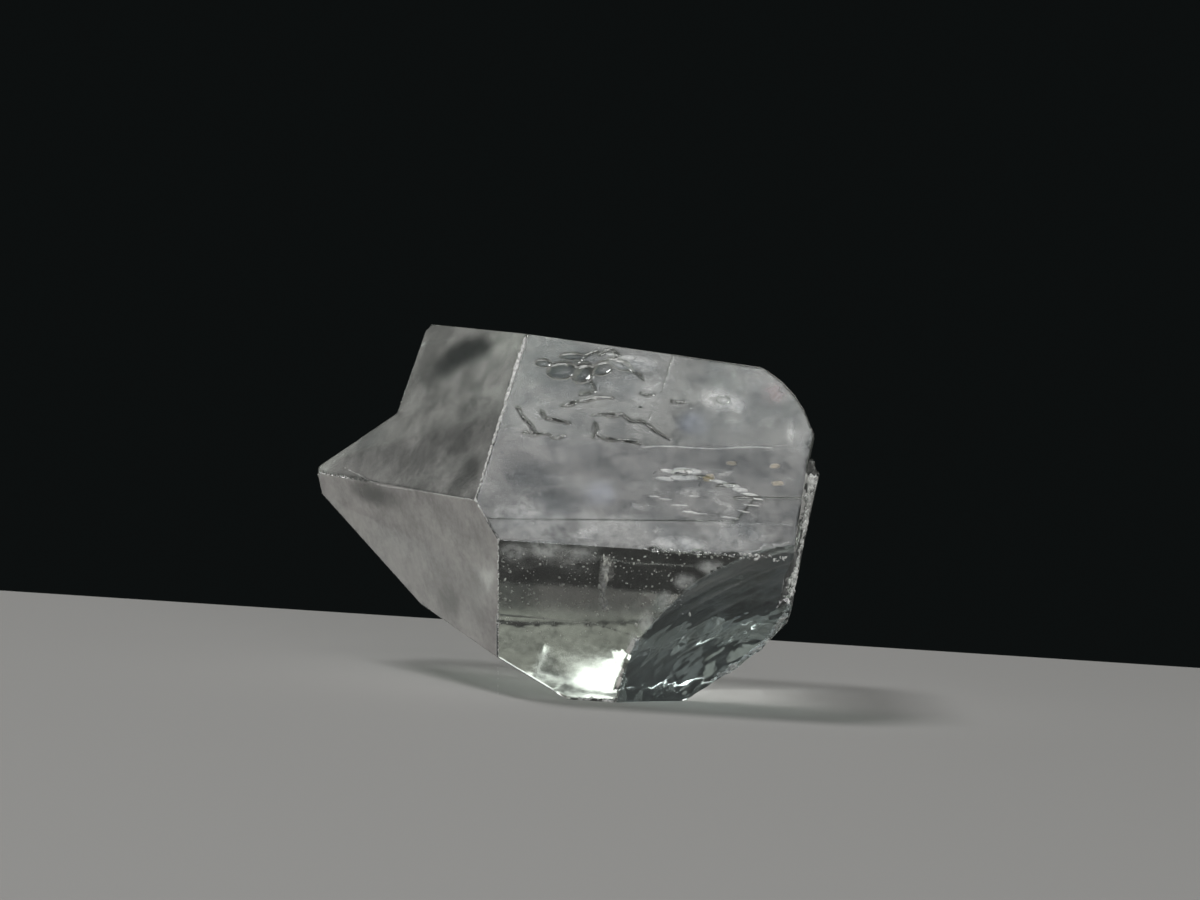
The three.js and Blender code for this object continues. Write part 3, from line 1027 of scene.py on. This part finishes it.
# Place along the crystal and up the upper front face, half width and half height, in mm
FLAKES = [
    (1.72, 1.56, 0.14, 0.045), (1.98, 1.6, 0.2, 0.05), (2.16, 1.58, 0.15, 0.055), (1.66, 1.4, 0.18, 0.04),
    (1.95, 1.44, 0.24, 0.05), (2.14, 1.46, 0.14, 0.04), (2.62, 1.42, 0.18, 0.03), (2.86, 1.36, 0.15, 0.045),
    (3.02, 1.28, 0.14, 0.04), (3.18, 1.2, 0.16, 0.025), (3.34, 1.12, 0.1, 0.015), (1.5, 1.04, 0.1, 0.015),
    (1.7, 1.0, 0.12, 0.014), (1.95, 0.9, 0.14, 0.012), (2.14, 0.78, 0.13, 0.02), (2.32, 0.76, 0.12, 0.012),
    (2.86, 0.72, 0.16, 0.016), (3.1, 0.86, 0.12, 0.014), (3.24, 0.99, 0.14, 0.012), (2.2, 1.1, 0.1, 0.012),
    (0.6, 3.81, 0.12, 0.03), (0.85, 3.77, 0.17, 0.045), (1.08, 3.72, 0.13, 0.035), (0.74, 3.7, 0.11, 0.025),
    (1.0, 3.64, 0.09, 0.02),
]
flakes = []
for along, up, wide, tall in FLAKES:
    turn, tilt = rng.uniform(-0.12, 0.05), rng.uniform(-0.2, 0.2)
    axes = face_axes(FRONT_UPPER, wide, tall, FLAKE_THICK, turn, tilt)
    depth = FLAKE_LEAST_DEPTH + FLAKE_DEPTH_SPREAD * rng.random()
    flakes.append((on_face(FRONT_UPPER, along, up, depth), axes, FLAKE_LUMPS))
print("bright flakes:", len(flakes))

# %% [markdown]
# A thin hollow tube stands in the lower front face, left open as the crystal grew. It is made as a short
# column of upright flakes, a little wavy. A fine bright seam crosses the upper front face. It is a row of
# long narrow flakes, so close that they read as one line.

# %% The tube and the seam
TUBE_COUNT = 26
TUBE_ALONG = 0.7
TUBE_TOP = -0.3
TUBE_LENGTH = 1.15
TUBE_WIDE = 0.06
TUBE_WAVE = 7
TUBE_LUMPS = 0.3
SEAM_COUNT = 40
SEAM_START = (1.25, 2.0)
SEAM_LENGTH = 2.25
SEAM_CLIMB = 0.14
SEAM_SWAY = 0.02
SEAM_WAVE = 9
SEAM_LUMPS = 0.25

for _ in range(TUBE_COUNT):
    share = rng.random()
    along = TUBE_ALONG + TUBE_WIDE * math.sin(TUBE_WAVE * share) + rng.uniform(-TUBE_WIDE, TUBE_WIDE)
    wide, tall = rng.uniform(0.012, 0.03), rng.uniform(0.04, 0.1)
    axes = face_axes(FRONT_LOWER, wide, tall, 0.01, rng.uniform(-0.3, 0.3), rng.uniform(-0.4, 0.4))
    centre = on_face(FRONT_LOWER, along, TUBE_TOP - TUBE_LENGTH * share, rng.uniform(0.03, 0.12))
    flakes.append((centre, axes, TUBE_LUMPS))
for share in np.linspace(0, 1, SEAM_COUNT):
    axes = face_axes(FRONT_UPPER, rng.uniform(0.03, 0.07), rng.uniform(0.006, 0.016), 0.006, 0.08)
    along = SEAM_START[0] + SEAM_LENGTH * share
    up = SEAM_START[1] + SEAM_CLIMB * share + SEAM_SWAY * math.sin(SEAM_WAVE * share)
    flakes.append((on_face(FRONT_UPPER, along, up, 0.02), axes, SEAM_LUMPS))
blobs("flakes", flakes, white_frost, ROUND_BALL)

# %% [markdown]
# ## Stains, dark grains and painted groove shade
# A few flakes are stained tan, as iron does, and two dark grains sit beside them. The grooves need help too:
# at this size their dark side is hard to see. So thin dark grains lie under most of their length as painted
# shade, each a little longer than the stretch of groove that it follows.

# %% Stains, dark grains and painted groove shade
STAIN_DEPTH = 0.08
GRAIN_DEPTH = 0.05
SPOT_LUMPS = 0.2
GROOVE_BARE = 0.25
# Painted shade for the grooves: how deep, long, wide and thick the dark grains under them are
GROOVE_SHADE_DEPTH = 0.027
GROOVE_SHADE_LENGTH = 0.6
GROOVE_SHADE_WIDE = 0.007
GROOVE_SHADE_THICK = 0.003
# Place along the crystal and up the upper front face, half width and half height, in mm
TAN_SPOTS = [
    (2.44, 1.49, 0.12, 0.08), (3.61, 1.81, 0.1, 0.05), (3.68, 1.47, 0.11, 0.05), (2.84, 1.81, 0.09, 0.05),
]
DARK_SPOTS = [(2.29, 1.34, 0.035, 0.05), (1.46, 1.51, 0.025, 0.035)]


def spots_on_upper(spots, depth, thick, turn=0.0):
    """Flat spots under the upper front face."""
    found = []
    for along, up, wide, tall in spots:
        centre = on_face(FRONT_UPPER, along, up, depth)
        found.append((centre, face_axes(FRONT_UPPER, wide, tall, thick, turn), SPOT_LUMPS))
    return found


blobs("tan_stains", spots_on_upper(TAN_SPOTS, STAIN_DEPTH, 0.01, 0.1), tan_frost, ROUND_BALL)
dark = spots_on_upper(DARK_SPOTS, GRAIN_DEPTH, 0.02)
out_of_face = facing(FRONT_UPPER)
# Painted shade: thin dark grains under the grooves stand in for the shade on their dark side
for line in groove_lines:
    for start, end in zip(line[:-2:2], line[2::2]):
        if rng.random() < GROOVE_BARE:
            continue
        along = (end - start) * GROOVE_SHADE_LENGTH
        side = np.cross(out_of_face, along / np.linalg.norm(along))
        axes = np.array([along, side * GROOVE_SHADE_WIDE, out_of_face * GROOVE_SHADE_THICK])
        dark.append(((start + end) / 2 - out_of_face * GROOVE_SHADE_DEPTH, axes, SPOT_LUMPS))
blobs("dark_grains_and_groove_shade", dark, dark_frost_and_groove_shade)

# %% [markdown]
# ## Veils
# Milky veils are old cracks that healed, and left a film of tiny bubbles. Each one is a thin sheet inside
# the crystal, gently bent. Cells near its border are left out by a lumpy rule, so that no straight border
# shows, and so are those that would reach the surface.

# %% Veil sheets
VEIL_MARGIN = 0.03
# How fast the waves of a veil and of its border run, across it and up it
SLOW_WAVE = (4.1, 3.3)
QUICK_WAVE = (9, 7)
QUICK_SHARE = 0.4
BORDER_WAVE = (11, 13)


def veil(name, material, azimuth, along, up, deep, bend=0.05, cells=(26, 18), fade=0.25):
    """A sheet under a front face, bent by a few waves. deep is at its lower and at its upper border."""
    a, b = (on_face(azimuth, x, up[0], deep[0]) for x in along)
    d, c = (on_face(azimuth, x, up[1], deep[1]) for x in along)
    normal = np.cross(b - a, d - a)
    normal /= np.linalg.norm(normal)
    u, v = np.meshgrid(np.linspace(0, 1, cells[0]), np.linspace(0, 1, cells[1]), indexing="ij")
    phase = rng.uniform(0, 2 * math.pi, 4)
    slow = np.sin(SLOW_WAVE[0] * u + phase[0]) * np.cos(SLOW_WAVE[1] * v + phase[1])
    quick = QUICK_SHARE * np.sin(QUICK_WAVE[0] * u + phase[2]) * np.sin(QUICK_WAVE[1] * v + phase[3])
    flat = (
        a * ((1 - u) * (1 - v))[..., None] + b * (u * (1 - v))[..., None]
        + c * (u * v)[..., None] + d * ((1 - u) * v)[..., None]
    )
    places = flat + normal * ((slow + quick) * bend)[..., None]
    index = np.arange(u.size).reshape(u.shape)
    quads = [index[:-1, :-1], index[1:, :-1], index[1:, 1:], index[:-1, 1:]]
    faces = np.stack(quads, axis=-1).reshape(-1, 4)
    places = places.reshape(-1, 3)
    cu = ((u[:-1, :-1] + u[1:, 1:]) / 2).ravel()
    cv = ((v[:-1, :-1] + v[1:, 1:]) / 2).ravel()
    border = np.minimum.reduce([cu, 1 - cu, cv, 1 - cv])
    lumpy = 0.5 + 0.5 * np.sin(BORDER_WAVE[0] * cu + phase[2]) * np.cos(BORDER_WAVE[1] * cv + phase[0])
    within = np.array([inside(middle, VEIL_MARGIN) for middle in places[faces].mean(axis=1)])
    kept = (border > fade * 0.5 * lumpy) & within
    piece = new_piece(name, places, faces[kept])
    piece.data.materials.append(material)
    print(name, "cells:", int(kept.sum()))


# %% [markdown]
# A veil's material is there only in places: its Alpha is a pattern. Smoke and wisps come from a cloudy
# noise. The clouds right under a face are patches with given places, and lie where the real ones are.

# %% Veil materials
FILM_ROUGHNESS = 0.6
CLOUD_PER_MM = 3.0
CLOUD_DEPTH = 0.1


def film(tree, thickness, shade, cover, colour):
    """A milky film that goes from a darker shade to its colour, and is there as far as cover says."""
    shader = tree.add(
        "ShaderNodeBsdfPrincipled",
        inputs={
            "Base Color": mix(tree, thickness, tuple(shade * c for c in colour), colour),
            "Roughness": FILM_ROUGHNESS,
            "Alpha": cover,
        },
    )
    tree.add("ShaderNodeOutputMaterial", inputs={"Surface": shader})
    return tree.material


def veil_material(name, colour, per_mm, start, full, most, stretch=(1, 1, 1)):
    """A film that shows only where a noise rises from start to full, and covers at most the share most."""
    tree = Tree(name)
    cloud = noise(tree, place_in_mm(tree), per_mm, detail=6.0, roughness=0.68, stretch=stretch)
    cover = ramp(tree, cloud, start, full, to_low=0.0, to_high=most)
    return film(tree, ramp(tree, cloud, start, 0.8), 0.8, cover, colour)


def cloud_material(name, colour, azimuth, clouds):
    """Soft patches at given places just under a face."""
    tree = Tree(name)
    where = place_in_mm(tree)
    grain = noise(tree, where, CLOUD_PER_MM, detail=5.0, roughness=0.7)
    grain = ramp(tree, grain, low=0.3, high=0.62, to_low=0.35, to_high=1.0)
    cover = 0.0
    for along, up, wide, tall, strength in clouds:
        centre = on_face(azimuth, along, up, CLOUD_DEPTH)
        cover = strength * patch(tree, where, centre, (wide, tall, tall)) + cover
    return film(tree, grain, 0.85, grain * cover, colour)


smoke = veil_material("smoke_veil", (0.93, 0.94, 0.95), 1.4, 0.42, 0.75, 0.4, (1, 1, 1.4))
wisps = veil_material("wisp_veil", (0.95, 0.95, 0.93), 2.4, 0.48, 0.7, 0.5, (0.6, 1, 1.8))

# %% Clouds just under the faces
# Place along the crystal and up the face, radii along and up in mm, and strength
UPPER_CLOUDS = [
    (2.52, 3.07, 0.4, 0.3, 0.8), (2.87, 2.99, 0.26, 0.2, 0.6), (4.0, 2.54, 0.3, 0.4, 0.6),
    (0.95, 3.68, 0.6, 0.24, 0.95), (2.0, 0.16, 0.65, 0.2, 0.85), (-0.2, 1.9, 1.1, 0.45, 0.14),
    (-0.6, 0.5, 0.9, 0.5, 0.25), (1.2, 0.4, 1.2, 0.35, 0.3), (3.0, 0.4, 0.8, 0.4, 0.35),
    (-1.25, 0.45, 0.3, 0.35, 0.2), (2.1, 2.56, 0.3, 0.25, 0.12), (3.3, 3.4, 0.5, 0.3, 0.12),
]
LOWER_CLOUDS = [
    (-0.95, -0.3, 0.35, 0.25, 0.6), (-0.4, -0.2, 0.5, 0.28, 0.65), (0.25, -0.25, 0.4, 0.25, 0.5),
    (2.6, -0.35, 0.35, 0.22, 0.7), (2.15, -0.7, 0.3, 0.25, 0.7), (1.8, -1.15, 0.24, 0.3, 0.65),
    (1.5, -1.65, 0.2, 0.34, 0.6), (1.3, -2.15, 0.16, 0.36, 0.5), (0.7, -0.5, 0.1, 0.3, 0.6),
    (0.68, -0.95, 0.09, 0.3, 0.6), (0.72, -1.3, 0.1, 0.22, 0.7),
]
CLOUD_BEND = 0.01
TINTED_DEPTH = 0.07
TINTED_CLOUDS = [
    ("rose_veil", (0.95, 0.68, 0.68), (3.55, 3.25, 0.34, 0.3, 0.5)),
    ("blue_veil", (0.6, 0.68, 0.95), (2.1, 2.56, 0.38, 0.34, 0.3)),
    ("slate_veil", (0.3, 0.34, 0.5), (0.52, 1.05, 0.42, 0.36, 0.45)),
]
upper_cloud = cloud_material("cloud_veil", (0.96, 0.96, 0.95), FRONT_UPPER, UPPER_CLOUDS)
lower_cloud = cloud_material("cloud_veil_lower", (0.93, 0.95, 0.97), FRONT_LOWER, LOWER_CLOUDS)
veil(
    "cloud_veil_lower", lower_cloud, FRONT_LOWER, (-1.2, 3.0), (-2.7, 0.0), (0.1, 0.08),
    CLOUD_BEND, (40, 34), 0.0,
)
veil(
    "cloud_veil", upper_cloud, FRONT_UPPER, (-1.35, 3.9), (0.0, 3.85), (0.1, 0.1),
    CLOUD_BEND, (30, 24), 0.02,
)
for name, colour, cloud in TINTED_CLOUDS:
    tinted = cloud_material(name, colour, FRONT_UPPER, [cloud])
    along, up, wide, tall, _ = cloud
    across = (along - wide, along + wide)
    upwards = (up - tall, up + tall)
    deep = (TINTED_DEPTH, TINTED_DEPTH)
    veil(name, tinted, FRONT_UPPER, across, upwards, deep, CLOUD_BEND, (14, 14), 0.0)

# %% Smoke and wisps
VEILS = [
    ("smoke_veil_lower", smoke, FRONT_LOWER, (-1.15, 0.7), (-0.85, 0.1), (0.35, 0.12)),
    ("smoke_veil_upper", smoke, FRONT_UPPER, (-1.3, 0.9), (0.05, 1.5), (0.12, 0.3)),
    ("wisp_veil_upper", wisps, FRONT_UPPER, (0.9, 3.5), (0.5, 1.9), (0.12, 0.25)),
    ("wisp_veil_top", smoke, FRONT_UPPER, (0.2, 3.7), (2.4, 3.6), (0.15, 0.3)),
    ("tube_veil", wisps, FRONT_LOWER, (0.6, 0.85), (-1.5, -0.2), (0.12, 0.06), 0.02, (8, 26), 0.15),
]
for sheet in VEILS:
    veil(*sheet)

# %% [markdown]
# ## The floor
# The crystal rests on a plain pale floor. The floor ends soon behind it, so the room that shows behind the
# crystal, and through it, is dark. That makes the clear faces look deep.

# %% Floor and dark room
FLOOR_HALF = 0.2
FLOOR_FRONT = -0.3
FLOOR_BACK = 0.012
FLOOR_PAINT = (0.47, 0.465, 0.45, 1)
FLOOR_ROUGHNESS = 0.8
ROOM = (0.004, 0.005, 0.005, 1)

floor_data = bpy.data.meshes.new("floor")
floor_corners = [
    (-FLOOR_HALF, FLOOR_FRONT, 0), (FLOOR_HALF, FLOOR_FRONT, 0),
    (FLOOR_HALF, FLOOR_BACK, 0), (-FLOOR_HALF, FLOOR_BACK, 0),
]
floor_data.from_pydata(floor_corners, [], [(0, 1, 2, 3)])
floor = bpy.data.objects.new("floor", floor_data)
bpy.context.scene.collection.objects.link(floor)
floor_tree = Tree("floor_paint")
floor_shader = floor_tree.add(
    "ShaderNodeBsdfPrincipled", inputs={"Base Color": FLOOR_PAINT, "Roughness": FLOOR_ROUGHNESS}
)
floor_tree.add("ShaderNodeOutputMaterial", inputs={"Surface": floor_shader})
floor.data.materials.append(floor_tree.material)

world = bpy.data.worlds.new("dark_room")
world.use_nodes = True
world.node_tree.nodes["Background"].inputs["Color"].default_value = ROOM
bpy.context.scene.world = world
print("floor, m:", 2 * FLOOR_HALF, "by", FLOOR_BACK - FLOOR_FRONT)

# %% [markdown]
# ## The lights
# A clear crystal shows what it mirrors and bends, so each light is placed for the face that it serves. A
# softbox is a plain bright rectangle. It looks at the crystal, and isn't seen itself by the camera.

# %% Softboxes
LIGHT_AIM = Vector((0, 0, 0.003))
WHITE = (1, 1, 1)
WARM = (1, 0.97, 0.91)
# Name, degrees to the right and up, distance, width and height in metres, power in watts, and colour
SOFTBOXES = [
    ("left_light", -70, 64, 0.3, 0.1, 0.08, 0.42, WHITE),
    ("front_light", 14, 12, 0.3, 0.2, 0.12, 0.32, WHITE),
    ("face_light", 4, 60, 0.3, 0.04, 0.035, 0.015, WHITE),
    ("corner_light", -12, 56, 0.28, 0.04, 0.032, 0.016, WHITE),
    ("dim_high_light", -8, 47, 0.3, 0.16, 0.08, 0.018, WARM),
    ("low_left_light", -50, 8, 0.3, 0.1, 0.08, 0.06, WHITE),
    ("right_light", 50, 28, 0.3, 0.2, 0.15, 0.02, WHITE),
    ("streak_light", -39, 46, 0.3, 0.03, 0.03, 0.0006, WHITE),
    ("back_light", -160, 18, 0.3, 0.1, 0.06, 0.0008, WHITE),
    ("back_left_light", -132, 22, 0.3, 0.1, 0.08, 0.005, WHITE),
]


def softbox(name, azimuth, height, distance, width, tall, power, colour):
    """A rectangle of light that looks at the crystal."""
    data = bpy.data.lights.new(name, "AREA")
    data.shape = "RECTANGLE"
    data.size = width
    data.size_y = tall
    data.energy = power
    data.color = colour
    lamp = bpy.data.objects.new(name, data)
    a, e = math.radians(azimuth), math.radians(height)
    back = Vector((math.sin(a) * math.cos(e), -math.cos(a) * math.cos(e), math.sin(e)))
    turned = back.to_track_quat("Z", "Y").to_matrix().to_4x4()
    lamp.matrix_world = Matrix.Translation(LIGHT_AIM + back * distance) @ turned
    lamp.visible_camera = False
    bpy.context.scene.collection.objects.link(lamp)


for light in SOFTBOXES:
    softbox(*light)
print("softboxes:", len(SOFTBOXES))

# %% [markdown]
# ## The last settings
# Light enters the crystal, is mirrored inside many times and leaves again, so its path needs many bounces.
# With fewer, deep parts turn black. The plain view transform keeps the tones as they were set.

# %% Light paths and the end
scene = bpy.context.scene
scene.view_settings.view_transform = "Standard"
scene.cycles.max_bounces = 24
scene.cycles.transmission_bounces = 24
scene.cycles.glossy_bounces = 16
scene.cycles.transparent_max_bounces = 32
